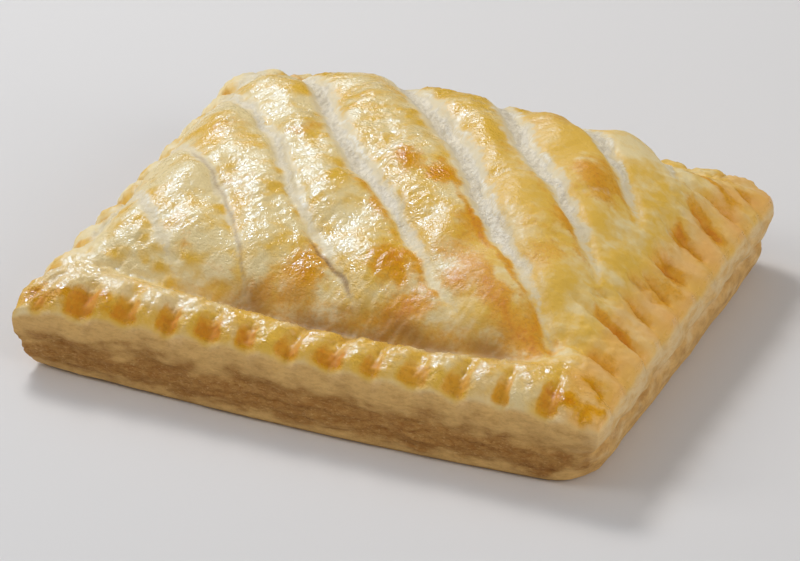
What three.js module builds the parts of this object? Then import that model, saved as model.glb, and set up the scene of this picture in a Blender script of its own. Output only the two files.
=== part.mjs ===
// A steak bake: one rectangular parcel of puff pastry with a crimped rim and a slashed, domed lid.
// Millimetres, +Z up. The long front edge runs along X, and the base rests on z = 0.
import * as THREE from 'three';

const { clamp, degToRad, lerp, smoothstep } = THREE.MathUtils;

// Outline
const LENGTH = 130;
const WIDTH = 110;
const CORNER_RADIUS = 8;
const CORNER_ROUND_POWER = 6;
const CORNER_PULL = { frontLeft: 5.6, frontRight: 4, back: 1 };
const CORNER_PULL_FADE = { left: 0.2, right: 1.2 };
const CORNER_PULL_POWER = 7;
const EDGE_BOW = { front: 0.6, back: 0.6, left: -0.4, right: 0.2 };
const EDGE_REACH = { left: 3, right: 0 };
const EDGE_REACH_POWER = 4;
const EDGE_HEIGHT = 19;

// Rim, measured inwards from the outer edge
const EDGE_TUCK = 1.4;
const EDGE_TUCK_FROM = 0.62;
const EDGE_TUCK_REACH = 12;
const CREST_SETBACK = { front: 6.5, back: 8, left: 5, right: 13 };
const CREST_RISE = { front: 4, back: 4, left: 3.8, right: 4.6 };
const CREST_ROUND = { front: 2.2, back: 2, left: 1.8, right: 1.4 };
const FRONT_SAG = 2;
const FRONT_SAG_HALF_LENGTH = 34;
const BACK_SAG = 1.2;
const BACK_SAG_DEPTH = [0.55, 0.9];
const CORNER_DROOP = 1.5;
const CORNER_DROOP_POWER = 3;
const CORNER_BLEND = 14;
const CORNER_SOFTNESS = 9;
const VALLEY_RUN = 4.5;
const VALLEY_DROP = 0.4;
const FRONT_VALLEY_DROP = 2.8;
const FRONT_VALLEY_DEPTH = [0.1, 0.7];
const FRONT_VALLEY_LEFT = [-1, -0.3];
const FRONT_VALLEY_RIGHT = [-0.9, -0.3];
const EAR_AT = { x: -51, y: 50 };
const EAR_LIFT = 3;
const EAR_HALF_LENGTH = 17;
const EAR_HALF_WIDTH = 11;

// Crimps pressed into the rim, square to its edges, at a pitch that may stretch along the edge
const CRIMP_FIRST = { front: -51.6, back: -50, left: -45.6, right: -46 };
const CRIMP_PITCH = { front: 9, back: 9.4, left: 10.6, right: 10 };
const CRIMP_STRETCH = { front: 0.04, back: 0, left: 0, right: 0 };
const CRIMP_PRESS = { front: 1.3, back: 0.9, left: 1.4, right: 1 };
const CRIMP_DEPTH = 1.5;
const CRIMP_HALF_WIDTH = 2.4;
const CRIMP_SQUARENESS = 2.2;
const CRIMP_WEDGE = 0.35;
const CRIMP_WEDGE_REACH = 10;
const CRIMP_NOTCH = { front: 0.6, back: 1.4, left: 2.2, right: 0.8 };
const CRIMP_NOTCH_REACH = 3;
const CRIMP_NOTCH_FADE = 4;
const CRIMP_UNEVENNESS = 0.3;
const CRIMP_DRIFT = 0.6;
const CRIMP_SKEW = 0.25;
const CRIMP_FADE = [0.7, 1.5];
const CRIMP_CORNER_FADE = [1.5, 7];
const SEED = { skew: 83, drift: 31, strength: 57, width: 71, reach: 43 };

// Lid, raised by the filling: its foot stands in from the outer edge
const LID_FOOT = { front: 12.2, back: 11.5, left: 6.5, right: 5 };
const LID_CORNER_CUT = { backLeft: 60, frontRight: 68 };
const LID_CORNER_REACH = { backLeft: 5, frontRight: 10 };
const FLANK_RISE = 10;
const FLANK_ROUND = { front: 1.15, back: 1.15, left: 1.15, right: 1.8 };
const FLANK_REACH = { front: 5.4, back: 4.6, left: 5.2, right: 15 };
const CROWN_RISE = 7.6;
const CROWN_AT = 20;
const CROWN_FALL = { front: 1, back: 0.55, ends: 0.2 };
const CROWN_HALF_LENGTH = 55.5;
const LUMP_HEIGHT = 1.5;
const LUMP_LENGTH = 27;
const LUMP_WAVES = 6;
const LUMP_SPREAD = 0.23;
const LUMP_PHASE = 1.7;

// Slashes cut across the lid, from back left to front right, and the pillows between them
const SLASH_ANGLE = degToRad(49);
const SLASH_PITCH = 18.4;
const SLASH_CROWDING = 0.18;
const SLASH_SHIFT = -0.4;
const SLASH_NUDGE = [1.7, 1.8, 1.3, -1.1, 1.3, -0.9, -1.4, 0];
const SLASH_STRENGTH = [0.3, 0.45, 0.65, 0.9, 1, 1, 0.9, 0.7];
const SLASH_BEND = [0, 0, 2.5, 7, 0, 0, 0, 0];
const SLASH_DEPTH = 1.1;
const SLASH_HALF_WIDTH = 3.1;
const SLASH_FLOOR_SHARE = 0.3;
const SLASH_TAPER_POWER = 4;
const SLASH_LEAST_TAPER = 0.01;
const SLASH_RIGHT = 51;
const SLASH_END_GAP = 1;
const SLASH_SWAY = 0.9;
const SLASH_SWAY_LENGTH = 55;
const SLASH_SWAY_PHASE = 2.1;
const PILLOW_DEPTH = 2.1;
const PILLOW_SHOULDER = 5.2;
const PILLOW_FADE = 3;

// Sides: two thicknesses of pastry, leaning in towards the base
const BASE_INSET = { front: 3, back: 3.4, left: 2, right: 4.4 };
const BASE_BOW = { front: 2.4, back: 0.8, left: 0.8, right: 0.4 };
const BASE_CORNER_RADIUS = 12;
const LEAN_ROUND = 1.3;
const SEAM_AT = 0.5;
const SEAM_HALF_HEIGHT = 0.09;
const SEAM_DEPTH = { front: 0.2, back: 0.5, left: 0.4, right: 1.1 };
const LAYER_SWELL = { front: 0.5, back: 0.6, left: 0.5, right: 0.8 };
const SIDE_WAVE = 0.35;
const SIDE_WAVE_LENGTH = 23;
const SIDE_WAVE_TWIST = 5;
const FOOT_HEIGHT = 1.2;
const FOOT_ROUND = 1;

// Facets
const CELLS_X = 68;
const CELLS_Y = 58;
const SIDE_SHARES = [0.84, 0.64, 0.5, 0.38, 0.2];

const HALF_LENGTH = LENGTH / 2;
const HALF_WIDTH = WIDTH / 2;
const LID_LEFT = LID_FOOT.left - HALF_LENGTH;
const LID_RIGHT = HALF_LENGTH - LID_FOOT.right;
const LID_FRONT = LID_FOOT.front - HALF_WIDTH;
const LID_BACK = HALF_WIDTH - LID_FOOT.back;
const GOLDEN_ANGLE = Math.PI * (3 - Math.sqrt(5));

const bell = (distance, halfWidth) => Math.exp(-((distance / halfWidth) ** 2));

// A repeatable draw between -1 and 1 for each whole number
function draw(seed) {
  const s = Math.sin(seed * 127.1 + 11.7) * 43758.5453;
  return 2 * (s - Math.floor(s)) - 1;
}

// Slow unevenness of baked dough: crossing waves of several lengths, between -1 and 1
function lump(x, y) {
  let sum = 0;
  for (let i = 0; i < LUMP_WAVES; i++) {
    const turn = i * GOLDEN_ANGLE;
    const wave = (2 * Math.PI * (1 + LUMP_SPREAD * i)) / LUMP_LENGTH;
    sum += Math.sin((x * Math.cos(turn) + y * Math.sin(turn)) * wave + LUMP_PHASE * i);
  }
  return sum / LUMP_WAVES;
}

// How far a corner is drawn out. The left one stays so down to its foot, the right one less.
function cornerPull(u, v, share) {
  const front = u < 0 ? CORNER_PULL.frontLeft : CORNER_PULL.frontRight;
  const fade = share ** (u < 0 ? CORNER_PULL_FADE.left : CORNER_PULL_FADE.right);
  return (v < 0 ? front : CORNER_PULL.back) * fade * Math.abs(u * v) ** CORNER_PULL_POWER;
}

// Carries a point of the square grid, u and v from -1 to 1, to the plan. The outer square rings of
// the grid become rounded rectangles, and the outward direction there goes with them. At a lower
// share of the edge's height the corners are rounder.
function plan(u, v, share = 1) {
  const ring = Math.max(Math.abs(u), Math.abs(v));
  const radius = lerp(BASE_CORNER_RADIUS, CORNER_RADIUS, share) * ring ** CORNER_ROUND_POWER;
  const x = Math.abs(u) * (HALF_LENGTH + (u < 0 ? EDGE_BOW.left : EDGE_BOW.right) * (1 - v * v));
  const y = Math.abs(v) * (HALF_WIDTH + (v < 0 ? EDGE_BOW.front : EDGE_BOW.back) * (1 - u * u));
  const centreX = HALF_LENGTH * ring - radius;
  const centreY = HALF_WIDTH * ring - radius;
  const point = new THREE.Vector2(x, y);
  const outward = HALF_LENGTH - x < HALF_WIDTH - y ? new THREE.Vector2(1, 0) : new THREE.Vector2(0, 1);
  if (x > centreX && y > centreY && ring > 0) {
    const onLongEdge = Math.abs(v) === ring;
    const bend = onLongEdge ? (x - centreX) / radius : (y - centreY) / radius;
    const turn = (Math.PI / 4) * clamp(bend, 0, 1);
    const angle = onLongEdge ? Math.PI / 2 - turn : turn;
    outward.set(Math.cos(angle), Math.sin(angle));
    point.set(centreX, centreY).addScaledVector(outward, radius);
  }
  point.x += (u < 0 ? EDGE_REACH.left : EDGE_REACH.right) * Math.abs(u) ** EDGE_REACH_POWER;
  point.addScaledVector(new THREE.Vector2(1, 1).normalize(), cornerPull(u, v, share));
  const flip = new THREE.Vector2(Math.sign(u) || 1, Math.sign(v) || 1);
  return { point: point.multiply(flip), outward: outward.multiply(flip) };
}

// Distances in from the nearer end and from the nearer long side, and the smaller of the two,
// which is rounded where they meet and goes below 0 at a corner
function insets(u, v) {
  const fromEnd = HALF_LENGTH * (1 - Math.abs(u));
  const fromSide = HALF_WIDTH * (1 - Math.abs(v));
  const near = Math.max(0, 1 - Math.abs(fromEnd - fromSide) / CORNER_SOFTNESS);
  const inset = Math.min(fromEnd, fromSide) - (near ** 2 * CORNER_SOFTNESS) / 4;
  return { fromEnd, fromSide, inset };
}

// The size given for the nearest of the four edges
function edgeSize(sizes, u, v, onLongEdge) {
  if (onLongEdge) return v < 0 ? sizes.front : sizes.back;
  return u < 0 ? sizes.left : sizes.right;
}

// The size given for the nearest edge, blended across the corners
function blendedSize(sizes, u, v) {
  const { fromEnd, fromSide } = insets(u, v);
  const toEnd = smoothstep(fromSide - fromEnd, -CORNER_BLEND, CORNER_BLEND);
  return lerp(edgeSize(sizes, u, v, true), edgeSize(sizes, u, v, false), toEnd);
}

// How firmly a crimp is pressed at a place on the rim: most in a groove's middle, 0 on a ridge.
// Each one is a wedge, narrower towards the lid, and fades out over the crest.
function crimp(u, v) {
  const { fromEnd, fromSide, inset } = insets(u, v);
  const onLongEdge = fromSide < fromEnd;
  const along = onLongEdge ? HALF_LENGTH * u : HALF_WIDTH * v;
  const edge = onLongEdge ? 2 + Math.sign(v) : 7 + Math.sign(u);
  const first = edgeSize(CRIMP_FIRST, u, v, onLongEdge);
  const pitch = edgeSize(CRIMP_PITCH, u, v, onLongEdge);
  const stretch = edgeSize(CRIMP_STRETCH, u, v, onLongEdge);
  const run = along - first;
  const number = Math.round((2 * run) / (pitch + Math.sqrt(pitch ** 2 + 4 * stretch * run)));
  const chance = (seed) => draw(seed * edge + number);
  const drift = CRIMP_DRIFT * chance(SEED.drift) + CRIMP_SKEW * chance(SEED.skew) * inset;
  const centre = first + pitch * number + stretch * number ** 2 + drift;
  const wedge = 1 - CRIMP_WEDGE * clamp(inset / CRIMP_WEDGE_REACH, 0, 1);
  const halfWidth = CRIMP_HALF_WIDTH * wedge * (1 + CRIMP_UNEVENNESS * chance(SEED.width));
  const press = edgeSize(CRIMP_PRESS, u, v, onLongEdge) * (1 + CRIMP_UNEVENNESS * chance(SEED.strength));
  const corner = smoothstep(Math.abs(fromEnd - fromSide), ...CRIMP_CORNER_FADE);
  const reach = blendedSize(CREST_SETBACK, u, v) * (1 + CRIMP_UNEVENNESS * chance(SEED.reach));
  const fade = 1 - smoothstep(inset / reach, ...CRIMP_FADE);
  return Math.exp(-(Math.abs((along - centre) / halfWidth) ** CRIMP_SQUARENESS)) * press * corner * fade;
}

// Height of the rim over its outer edge: it rises to a crest and falls to the valley by the lid,
// which is deepest along the front. The front crest sags in its middle, the back edge sags all along
// and the front left corner droops. Part of the back rim, near its left end, stands up like an ear.
function rimHeight(u, v) {
  const { inset } = insets(u, v);
  const setback = blendedSize(CREST_SETBACK, u, v);
  const rise = 1 - (1 - Math.min(1, inset / setback)) ** blendedSize(CREST_ROUND, u, v);
  const ends = smoothstep(u, ...FRONT_VALLEY_LEFT) * smoothstep(-u, ...FRONT_VALLEY_RIGHT);
  const front = smoothstep(-v, ...FRONT_VALLEY_DEPTH) * ends;
  const drop = lerp(VALLEY_DROP, FRONT_VALLEY_DROP, front);
  const fall = clamp((inset - setback) / VALLEY_RUN, 0, 1) ** 2;
  const earLength = bell(HALF_LENGTH * u - EAR_AT.x, EAR_HALF_LENGTH);
  const ear = EAR_LIFT * earLength * bell(HALF_WIDTH * v - EAR_AT.y, EAR_HALF_WIDTH);
  const frontSag = FRONT_SAG * rise * front * bell(HALF_LENGTH * u, FRONT_SAG_HALF_LENGTH);
  const backSag = BACK_SAG * smoothstep(v, ...BACK_SAG_DEPTH);
  const droop = u < 0 && v < 0 ? CORNER_DROOP * (u * v) ** CORNER_DROOP_POWER : 0;
  const crest = blendedSize(CREST_RISE, u, v) * rise - frontSag - backSag - droop;
  return crest - drop * fall - CRIMP_DEPTH * crimp(u, v) + ear;
}

// A flank's rise at a distance in from its foot
function flank(inset, reach, rounding) {
  return 1 - Math.exp(-((Math.max(0, inset) / reach) ** rounding));
}

// 0 on the rim and 1 on the lid: four flanks, and the cuts across two of the lid's corners
function lidShare(x, y) {
  const feet = { front: y - LID_FRONT, back: LID_BACK - y, left: x - LID_LEFT, right: LID_RIGHT - x };
  const diagonal = (x - y) / Math.SQRT2;
  let share = flank(LID_CORNER_CUT.backLeft + diagonal, LID_CORNER_REACH.backLeft, FLANK_ROUND.left);
  share *= flank(LID_CORNER_CUT.frontRight - diagonal, LID_CORNER_REACH.frontRight, FLANK_ROUND.right);
  for (const [side, inset] of Object.entries(feet)) {
    share *= flank(inset, FLANK_REACH[side], FLANK_ROUND[side]);
  }
  return share;
}

// Height of the lid over the rim: its top climbs to a crown near the back
function lidHeight(x, y) {
  const inFront = y < CROWN_AT;
  const span = inFront ? CROWN_AT - LID_FRONT : LID_BACK - CROWN_AT;
  const fall = (inFront ? CROWN_FALL.front : CROWN_FALL.back) * ((y - CROWN_AT) / span) ** 2;
  const crown = (1 - fall) * (1 - CROWN_FALL.ends * (x / CROWN_HALF_LENGTH) ** 2);
  return lidShare(x, y) * (FLANK_RISE + CROWN_RISE * crown + LUMP_HEIGHT * lump(x, y));
}

// Where slash number k lies: its distance from the lid's middle, and the stretch that it covers
function slashLine(strength, k) {
  const place = k - (SLASH_STRENGTH.length - 1) / 2;
  const offset = SLASH_PITCH * place - SLASH_CROWDING * place ** 3 + SLASH_SHIFT + SLASH_NUDGE[k];
  const across = new THREE.Vector2(Math.sin(SLASH_ANGLE), Math.cos(SLASH_ANGLE));
  const along = new THREE.Vector2(Math.cos(SLASH_ANGLE), -Math.sin(SLASH_ANGLE));
  const foot = across.clone().multiplyScalar(offset);
  const start = Math.max((LID_LEFT - foot.x) / along.x, (LID_BACK - foot.y) / along.y) + SLASH_END_GAP;
  const end = Math.min((SLASH_RIGHT - foot.x) / along.x, (LID_FRONT - foot.y) / along.y) - SLASH_END_GAP;
  return { strength, offset, across, along, start, end };
}

const SLASHES = SLASH_STRENGTH.map(slashLine);

// Depth below the lid's smooth form: a shallow cut, and the pillows' round shoulders by it. A cut
// sways a little, and some bend to the right at their lower ends.
function slashDepth(x, y) {
  const place = new THREE.Vector2(x, y);
  let depth = 0;
  for (const [k, slash] of SLASHES.entries()) {
    const along = place.dot(slash.along);
    const half = (slash.end - slash.start) / 2;
    const middle = (slash.end + slash.start) / 2;
    const taper = Math.sqrt(Math.max(0, 1 - ((along - middle) / half) ** SLASH_TAPER_POWER));
    const sway = SLASH_SWAY * Math.sin((2 * Math.PI * along) / SLASH_SWAY_LENGTH + SLASH_SWAY_PHASE * k);
    const bend = SLASH_BEND[k] * Math.max(0, (along - middle) / half) ** 2;
    const gap = Math.abs(place.dot(slash.across) - slash.offset - sway - bend);
    const reach = SLASH_HALF_WIDTH * Math.max(taper, SLASH_LEAST_TAPER);
    const cut = SLASH_DEPTH * taper * (1 - smoothstep(gap, SLASH_FLOOR_SHARE * reach, reach));
    const shoulder = PILLOW_DEPTH * taper ** PILLOW_FADE * bell(gap, PILLOW_SHOULDER);
    depth = Math.max(depth, slash.strength * (cut + shoulder));
  }
  return depth;
}

// Height of the top surface
function topHeight(u, v) {
  const x = HALF_LENGTH * u;
  const y = HALF_WIDTH * v;
  return EDGE_HEIGHT + rimHeight(u, v) + lidHeight(x, y) - slashDepth(x, y);
}

// A size given for each of the four sides, blended round the corners by the outward direction
function bySide(sizes, outward) {
  const end = outward.x < 0 ? sizes.left : sizes.right;
  const side = outward.y < 0 ? sizes.front : sizes.back;
  return end * outward.x ** 2 + side * outward.y ** 2;
}

// How far the side stands in from the rim's outline, at a share of the edge's height. The base bows
// out along each side, and most at the front. Near its top the side turns in under the rim's edge.
function sideInset(share, u, v, outward, around) {
  const bow = Math.abs(v) === 1 ? 1 - u * u : 1 - v * v;
  const foot = bySide(BASE_INSET, outward) - bySide(BASE_BOW, outward) * bow;
  const layer = share > SEAM_AT ? (share - SEAM_AT) / (1 - SEAM_AT) : share / SEAM_AT;
  const swell = bySide(LAYER_SWELL, outward) * Math.sin(Math.PI * layer);
  const seam = bySide(SEAM_DEPTH, outward) * bell(share - SEAM_AT, SEAM_HALF_HEIGHT);
  const tuck = EDGE_TUCK * clamp((share - EDGE_TUCK_FROM) / (1 - EDGE_TUCK_FROM), 0, 1) ** 2;
  const wave = Math.sin((2 * Math.PI * around) / SIDE_WAVE_LENGTH + SIDE_WAVE_TWIST * share);
  const ripple = SIDE_WAVE * wave * Math.sin(Math.PI * share);
  return foot * (1 - share) ** LEAN_ROUND - swell + seam + tuck - ripple;
}

const gridU = (i) => (2 * i) / CELLS_X - 1;
const gridV = (j) => (2 * j) / CELLS_Y - 1;
const gridIndex = (i, j) => j * (CELLS_X + 1) + i;

// The grid's outer points in order, round the rim from its front left corner
function rimLoop() {
  const loop = [];
  for (let i = 0; i < CELLS_X; i++) loop.push([i, 0]);
  for (let j = 0; j < CELLS_Y; j++) loop.push([CELLS_X, j]);
  for (let i = CELLS_X; i > 0; i--) loop.push([i, CELLS_Y]);
  for (let j = CELLS_Y; j > 0; j--) loop.push([0, j]);
  return loop;
}

// The top: a grid of squares, each split along the slashes' direction. Its outer part is drawn in
// a little all round, and more in the crimps.
function addTop(points, faces) {
  for (let j = 0; j <= CELLS_Y; j++) {
    for (let i = 0; i <= CELLS_X; i++) {
      const u = gridU(i);
      const v = gridV(j);
      const { point, outward } = plan(u, v);
      const { inset } = insets(u, v);
      const tuck = EDGE_TUCK * clamp(1 - inset / EDGE_TUCK_REACH, 0, 1) ** 2;
      const notch = bySide(CRIMP_NOTCH, outward) * crimp(u, v) * Math.exp(-inset / CRIMP_NOTCH_REACH);
      point.addScaledVector(outward, -tuck - notch);
      points.push(point.x, point.y, topHeight(u, v));
    }
  }
  for (let j = 0; j < CELLS_Y; j++) {
    for (let i = 0; i < CELLS_X; i++) {
      const frontLeft = gridIndex(i, j);
      const frontRight = gridIndex(i + 1, j);
      const backLeft = gridIndex(i, j + 1);
      const backRight = gridIndex(i + 1, j + 1);
      faces.push(frontLeft, frontRight, backLeft, frontRight, backRight, backLeft);
    }
  }
}

// One ring of points round the side, at a share of the edge's height or at a set height
function addSideRing(points, loop, share, height, extraInset) {
  const first = points.length / 3;
  let around = 0;
  let last = null;
  for (const [i, j] of loop) {
    const u = gridU(i);
    const v = gridV(j);
    const { point, outward } = plan(u, v, share);
    around += last ? point.distanceTo(last) : 0;
    last = point.clone();
    const notch = bySide(CRIMP_NOTCH, outward) * crimp(u, v) * share ** CRIMP_NOTCH_FADE;
    point.addScaledVector(outward, -sideInset(share, u, v, outward, around) - notch - extraInset);
    points.push(point.x, point.y, height ?? share * topHeight(u, v));
  }
  return loop.map((_, k) => first + k);
}

function joinRings(faces, upper, lower) {
  for (let k = 0; k < upper.length; k++) {
    const next = (k + 1) % upper.length;
    faces.push(lower[k], lower[next], upper[next], lower[k], upper[next], upper[k]);
  }
}

// The sides and the flat base
function addSidesAndBase(points, faces) {
  const loop = rimLoop();
  let upper = loop.map(([i, j]) => gridIndex(i, j));
  for (const share of SIDE_SHARES) {
    const lower = addSideRing(points, loop, share, null, 0);
    joinRings(faces, upper, lower);
    upper = lower;
  }
  const foot = addSideRing(points, loop, FOOT_HEIGHT / EDGE_HEIGHT, FOOT_HEIGHT, 0);
  joinRings(faces, upper, foot);
  const base = addSideRing(points, loop, 0, 0, FOOT_ROUND);
  joinRings(faces, foot, base);
  const centre = points.length / 3;
  points.push(0, 0, 0);
  for (let k = 0; k < base.length; k++) faces.push(centre, base[(k + 1) % base.length], base[k]);
}

// The closed pastry, with the middle of its box over the origin
function pastryGeometry() {
  const points = [];
  const faces = [];
  addTop(points, faces);
  addSidesAndBase(points, faces);
  const geometry = new THREE.BufferGeometry();
  geometry.setAttribute('position', new THREE.Float32BufferAttribute(points, 3));
  geometry.setIndex(faces);
  geometry.computeBoundingBox();
  const middle = geometry.boundingBox.getCenter(new THREE.Vector3());
  geometry.translate(-middle.x, -middle.y, 0);
  geometry.computeVertexNormals();
  return geometry;
}

const crust = new THREE.MeshStandardMaterial({ color: 0xd9ab5c, roughness: 0.42, metalness: 0 });
const pastry = new THREE.Mesh(pastryGeometry(), crust);
pastry.name = 'pastry';

const steakBake = new THREE.Group();
steakBake.add(pastry);

export default steakBake;
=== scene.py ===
import math
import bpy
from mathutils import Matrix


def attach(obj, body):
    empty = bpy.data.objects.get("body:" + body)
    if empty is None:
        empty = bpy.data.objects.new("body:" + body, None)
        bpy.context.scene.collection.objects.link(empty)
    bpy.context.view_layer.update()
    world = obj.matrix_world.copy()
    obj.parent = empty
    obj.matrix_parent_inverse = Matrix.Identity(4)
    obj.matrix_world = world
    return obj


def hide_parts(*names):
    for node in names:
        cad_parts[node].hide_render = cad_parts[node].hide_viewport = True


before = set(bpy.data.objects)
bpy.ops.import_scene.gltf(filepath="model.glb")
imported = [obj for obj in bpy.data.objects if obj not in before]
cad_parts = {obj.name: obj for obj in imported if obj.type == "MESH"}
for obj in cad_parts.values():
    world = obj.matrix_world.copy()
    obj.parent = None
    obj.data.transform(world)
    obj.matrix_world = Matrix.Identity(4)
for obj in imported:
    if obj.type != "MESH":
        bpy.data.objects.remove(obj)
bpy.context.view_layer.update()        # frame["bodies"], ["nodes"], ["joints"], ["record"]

from types import SimpleNamespace

import bpy
import numpy as np
from mathutils import Vector

# The looks of a steak bake: one mesh of puff pastry, finer than the solid but of the same form,
# with crinkles, slash lips and flaky sides, and one procedural crust that reads masks on its points.
# Lengths are millimetres until the mesh is made, which is in metres.
MM = 0.001


def edges(front, back, left, right):
    """A size for each of the four edges."""
    return {"front": front, "back": back, "left": left, "right": right}


# Sizes that the mesh shares with the solid
LENGTH, WIDTH = 130, 110
CORNER_RADIUS, CORNER_ROUND_POWER = 8, 6
CORNER_PULL = {"front_left": 5.6, "front_right": 4, "back": 1}
CORNER_PULL_FADE = {"left": 0.2, "right": 1.2}
CORNER_PULL_POWER = 7
EDGE_BOW = edges(0.6, 0.6, -0.4, 0.2)
EDGE_REACH, EDGE_REACH_POWER = {"left": 3, "right": 0}, 4
EDGE_HEIGHT = 19
EAR_AT, EAR_LIFT, EAR_HALF_LENGTH, EAR_HALF_WIDTH = (-51, 50), 3, 17, 11
EDGE_TUCK, EDGE_TUCK_FROM, EDGE_TUCK_REACH = 1.4, 0.62, 12
CREST_SETBACK = edges(6.5, 8, 5, 13)
CREST_RISE = edges(4, 4, 3.8, 4.6)
CREST_ROUND = edges(2.2, 2, 1.8, 1.4)
CREST_SAG, CREST_SAG_HALF_LENGTH = 2, 34
BACK_SAG, BACK_SAG_DEPTH = 1.2, (0.55, 0.9)
CORNER_DROOP, CORNER_DROOP_POWER = 1.5, 3
CORNER_BLEND, CORNER_SOFTNESS = 14, 9
VALLEY_RUN, VALLEY_DROP, FRONT_VALLEY_DROP = 4.5, 0.4, 2.8
FRONT_VALLEY_DEPTH, FRONT_VALLEY_LEFT, FRONT_VALLEY_RIGHT = (0.1, 0.7), (-1, -0.3), (-0.9, -0.3)
CRIMP_FIRST = edges(-51.6, -50, -45.6, -46)
CRIMP_PITCH = edges(9, 9.4, 10.6, 10)
CRIMP_STRETCH = edges(0.04, 0, 0, 0)
CRIMP_PRESS = edges(1.3, 0.9, 1.4, 1)
CRIMP_DEPTH, CRIMP_HALF_WIDTH, CRIMP_SQUARENESS = 1.5, 2.4, 2.2
CRIMP_NOTCH = edges(0.6, 1.4, 2.2, 0.8)
CRIMP_NOTCH_REACH = 3
CRIMP_WEDGE, CRIMP_WEDGE_REACH = 0.35, 10
CRIMP_UNEVENNESS, CRIMP_DRIFT, CRIMP_SKEW = 0.3, 0.6, 0.25
SEED_SKEW, SEED_DRIFT, SEED_STRENGTH, SEED_WIDTH, SEED_REACH, SEED_BROWN = 83, 31, 57, 71, 43, 91
CRIMP_FADE = (0.7, 1.5)
CRIMP_CORNER_FADE = (1.5, 7)
LID_FOOT = edges(12.2, 11.5, 6.5, 5)
LID_CORNER_CUT = {"back_left": 60, "front_right": 68}
LID_CORNER_REACH = {"back_left": 5, "front_right": 10}
FLANK_RISE = 10
FLANK_ROUND = edges(1.15, 1.15, 1.15, 1.8)
FLANK_REACH = edges(5.4, 4.6, 5.2, 15)
CROWN_RISE, CROWN_AT = 7.6, 20
CROWN_FALL = {"front": 1, "back": 0.55, "ends": 0.2}
CROWN_HALF_LENGTH = 55.5
LUMP_HEIGHT, LUMP_LENGTH, LUMP_WAVES, LUMP_SPREAD, LUMP_PHASE = 1.5, 27, 6, 0.23, 1.7
SLASH_COUNT, SLASH_ANGLE, SLASH_PITCH = 8, math.radians(49), 18.4
SLASH_CROWDING, SLASH_SHIFT, SLASH_END_GAP, SLASH_RIGHT = 0.18, -0.4, 1, 51
SLASH_NUDGE = (1.7, 1.8, 1.3, -1.1, 1.3, -0.9, -1.4, 0)
SLASH_STRENGTH = (0.3, 0.45, 0.65, 0.9, 1, 1, 0.9, 0.7)
SLASH_BEND = (0, 0, 2.5, 7, 0, 0, 0, 0)
SLASH_DEPTH, SLASH_HALF_WIDTH, SLASH_FLOOR_SHARE = 1.1, 3.1, 0.3
SLASH_TAPER_POWER, LEAST_TAPER = 4, 0.01
SLASH_SWAY, SLASH_SWAY_LENGTH, SLASH_SWAY_PHASE = 0.9, 55, 2.1
PILLOW_DEPTH, PILLOW_SHOULDER, PILLOW_FADE = 2.1, 5.2, 3
BASE_INSET = edges(3, 3.4, 2, 4.4)
BASE_BOW = edges(2.4, 0.8, 0.8, 0.4)
BASE_CORNER_RADIUS, LEAN_ROUND = 12, 1.3
SEAM_AT, SEAM_HALF_HEIGHT = 0.5, 0.09
SEAM_DEPTH = edges(0.2, 0.5, 0.4, 1.1)
LAYER_SWELL = edges(0.5, 0.6, 0.5, 0.8)
SIDE_WAVE, SIDE_WAVE_LENGTH, SIDE_WAVE_TWIST = 0.35, 23, 5
FOOT_HEIGHT, FOOT_ROUND = 1.2, 1

HALF_LENGTH, HALF_WIDTH = LENGTH / 2, WIDTH / 2
LID_LEFT, LID_RIGHT = LID_FOOT["left"] - HALF_LENGTH, HALF_LENGTH - LID_FOOT["right"]
LID_FRONT, LID_BACK = LID_FOOT["front"] - HALF_WIDTH, HALF_WIDTH - LID_FOOT["back"]
GOLDEN_ANGLE = math.pi * (3 - math.sqrt(5))
ACROSS = (math.sin(SLASH_ANGLE), math.cos(SLASH_ANGLE))
ALONG = (math.cos(SLASH_ANGLE), -math.sin(SLASH_ANGLE))

# How finely the mesh is cut
CELLS_X, CELLS_Y, SIDE_RINGS = 256, 216, 46

# The slashes, from the front left one to the back right one: how far each has opened, how far that closes
# towards its lower end, and how brown its left edge is
SLASH_OPENING = (0.32, 0.2, 0.36, 0.7, 0.85, 0.75, 0.55, 0.3)
SLASH_CLOSING = (0.65, 0.65, 0.65, 0.8, 0.85, 0.7, 0.65, 0.65)
EDGE_BROWNING = (0, 0.1, 0.3, 0.5, 1, 0.5, 0.4, 0.2)
# Where a thin slit starts along each slash, how much it shows, and how far left of the slash it runs
SLIT_FROM = (0.3, 0.2, 0.72, 0.85, 0.85, 0.9, 0.9, 0.9)
SLIT_STRENGTH = (0.15, 0.6, 1, 0.35, 0.5, 0.3, 0.2, 0)
SLIT_OFFSET = (0, 0, 1.6, 1.4, 1.4, 0, 0, 0)
# Pale dough beside a slash, its floor, its torn lip, the browned streak on its left, and slits
SLASH_END_FADE, SLASH_TIP, SLASH_EDGE = (0.05, 0.45), (0.93, 1), 1.15
PALE_LEAST, PALE_LOSS, PALE_FROM, PALE_MARGIN, PALE_SPREAD = 0.65, 0.5, 0.45, 0.7, 1.9
FLOOR_LOSS, FLOOR_FROM = 0.7, 0.35
LIP_TEARS, LIP_SEED, LIP_HALF, LIP_HEIGHT = 22, 21, 0.34, 0.42
STREAK_AT, STREAK_GAP, STREAK_HALF, STREAK_RUN = 1.4, 1.1, 1.1, ((0.4, 0.65), SLASH_TIP)
SLIT_RISE, SLIT_HALF, SLIT_DEPTH = 0.12, 0.55, 0.45

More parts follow.
